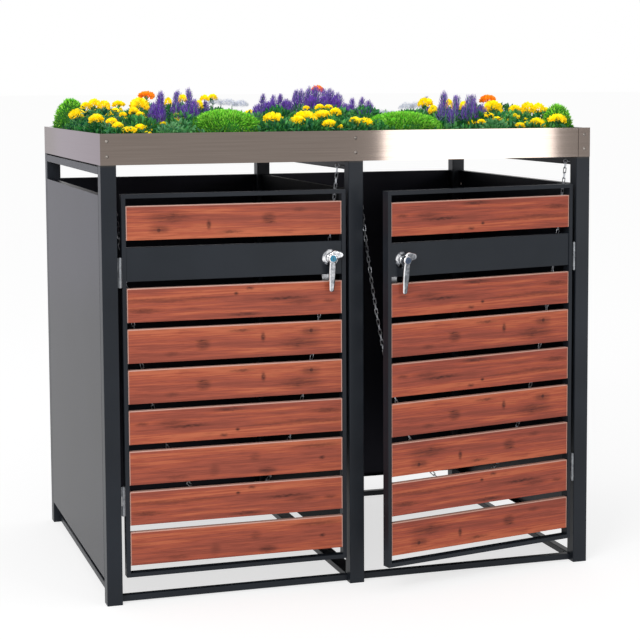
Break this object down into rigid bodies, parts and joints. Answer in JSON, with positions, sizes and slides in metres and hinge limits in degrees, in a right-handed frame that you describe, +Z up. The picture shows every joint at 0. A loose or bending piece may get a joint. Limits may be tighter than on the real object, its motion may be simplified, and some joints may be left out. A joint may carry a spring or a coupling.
{
  "type": "wheelie bin store",
  "caption": "Wheelie bin store: tube frame, sheet walls, slatted wood-look doors with lever latches, hanging lid chains and a stainless planter roof with flowers.",
  "frame": {"origin": "centre of the underside of the front centre foot plate, on the floor", "axes": "+X to the right as seen from the front, +Y from the doors to the back panels, +Z up"},
  "size_m": [1.34, 1.0904, 1.316],
  "materials": {
    "anthracite_coat": "anthracite powder coat, satin, fine texture",
    "wood_look_coat": "reddish brown wood-look coat on folded sheet, satin, with grain and knots",
    "black_plastic": "black plastic end caps, matte",
    "stainless_planter": "brushed stainless sheet, long horizontal grain",
    "stainless_bolts": "plain stainless, turned",
    "coated_rivets": "anthracite coat over the rivet heads",
    "zinc_hinges": "bright zinc plate",
    "zinc_cam": "bright zinc plate",
    "chromed_handle": "polished chrome plate",
    "lock_barrel": "turned barrel with a blue-green dust cover round the keyway",
    "zinc_chain": "zinc plated round wire",
    "compost": "dark crumbly compost",
    "ground_cover_leaves": "low green leaves",
    "cushion_leaves": "tight moss-green cushions",
    "marigold_flowers": "yellow and orange flower heads over green leaves",
    "salvia_flowers": "purple flower spikes over grey-green leaves",
    "alyssum_flowers": "small white flowers over green leaves"
  },
  "bodies": {
    "store": {"post_front_left": "anthracite_coat", "post_front_centre": "anthracite_coat", "post_front_right": "anthracite_coat", "post_back_left": "anthracite_coat", "post_back_centre": "anthracite_coat", "post_back_right": "anthracite_coat", "foot_plates": "anthracite_coat", "base_rails_front": "anthracite_coat", "base_rails_back": "anthracite_coat", "base_rail_left": "anthracite_coat", "base_rail_centre": "anthracite_coat", "base_rail_right": "anthracite_coat", "top_rail_left": "anthracite_coat", "top_rail_centre": "anthracite_coat", "top_rail_right": "anthracite_coat", "rail_spigots": "anthracite_coat", "side_panel_left": "anthracite_coat", "side_panel_right": "anthracite_coat", "divider_panel": "anthracite_coat", "back_panel_left": "anthracite_coat", "back_panel_right": "anthracite_coat", "post_caps": "black_plastic", "planter_floor": "stainless_planter", "planter_front": "stainless_planter", "planter_back": "stainless_planter", "planter_left": "stainless_planter", "planter_right": "stainless_planter", "planter_web": "stainless_planter", "planter_bolts": "stainless_bolts", "panel_screws": "stainless_bolts", "rail_bolts": "stainless_bolts", "hinge_post_leaves": "zinc_hinges", "hinge_pins": "zinc_hinges", "chain_left": "zinc_chain", "chain_right": "zinc_chain", "chain_eyes": "zinc_chain", "soil_beds": "compost", "ground_cover": "ground_cover_leaves", "cushion_plants": "cushion_leaves", "marigold_plants": "marigold_flowers", "salvia_plants": "salvia_flowers", "alyssum_plants": "alyssum_flowers"},
    "door_left": {"door_frame_left": "anthracite_coat", "door_slats_left": "wood_look_coat", "door_panel_left": "anthracite_coat", "door_rivets_left": "coated_rivets", "hinge_door_leaves_left": "zinc_hinges", "handle_rose_left": "chromed_handle"},
    "door_right": {"door_frame_right": "anthracite_coat", "door_slats_right": "wood_look_coat", "door_panel_right": "anthracite_coat", "door_rivets_right": "coated_rivets", "hinge_door_leaves_right": "zinc_hinges", "handle_rose_right": "chromed_handle"},
    "handle_left": {"lever_handle_left": "chromed_handle", "latch_cam_left": "zinc_cam"},
    "handle_right": {"lever_handle_right": "chromed_handle", "latch_cam_right": "zinc_cam"},
    "lock_left": {"lock_cylinder_left": "lock_barrel"},
    "lock_right": {"lock_cylinder_right": "lock_barrel"}
  },
  "joints": [
    {"name": "door_left_swing", "type": "hinge", "parent": "store", "child": "door_left", "pos_m": [-0.6245, -0.02, 0.5595], "axis": [0, 0, -1], "range_deg": [0, 165]},
    {"name": "door_right_swing", "type": "hinge", "parent": "store", "child": "door_right", "pos_m": [0.6245, -0.02, 0.5595], "axis": [0, 0, 1], "range_deg": [-12.3, 152.7]},
    {"name": "handle_left_turn", "type": "hinge", "parent": "door_left", "child": "handle_left", "pos_m": [-0.072, 0, 0.871], "axis": [0, -1, 0], "range_deg": [0, 50]},
    {"name": "handle_right_turn", "type": "hinge", "parent": "door_right", "child": "handle_right", "pos_m": [0.08042, -0.11816, 0.871], "axis": [-0.213, 0.977, 0], "range_deg": [0, 50]},
    {"name": "lock_left_turn", "type": "hinge", "parent": "handle_left", "child": "lock_left", "pos_m": [-0.072, 0, 0.871], "axis": [0, -1, 0], "range_deg": [0, 90]},
    {"name": "lock_right_turn", "type": "hinge", "parent": "handle_right", "child": "lock_right", "pos_m": [0.08042, -0.11816, 0.871], "axis": [-0.213, 0.977, 0], "range_deg": [0, 90]}
  ]
}
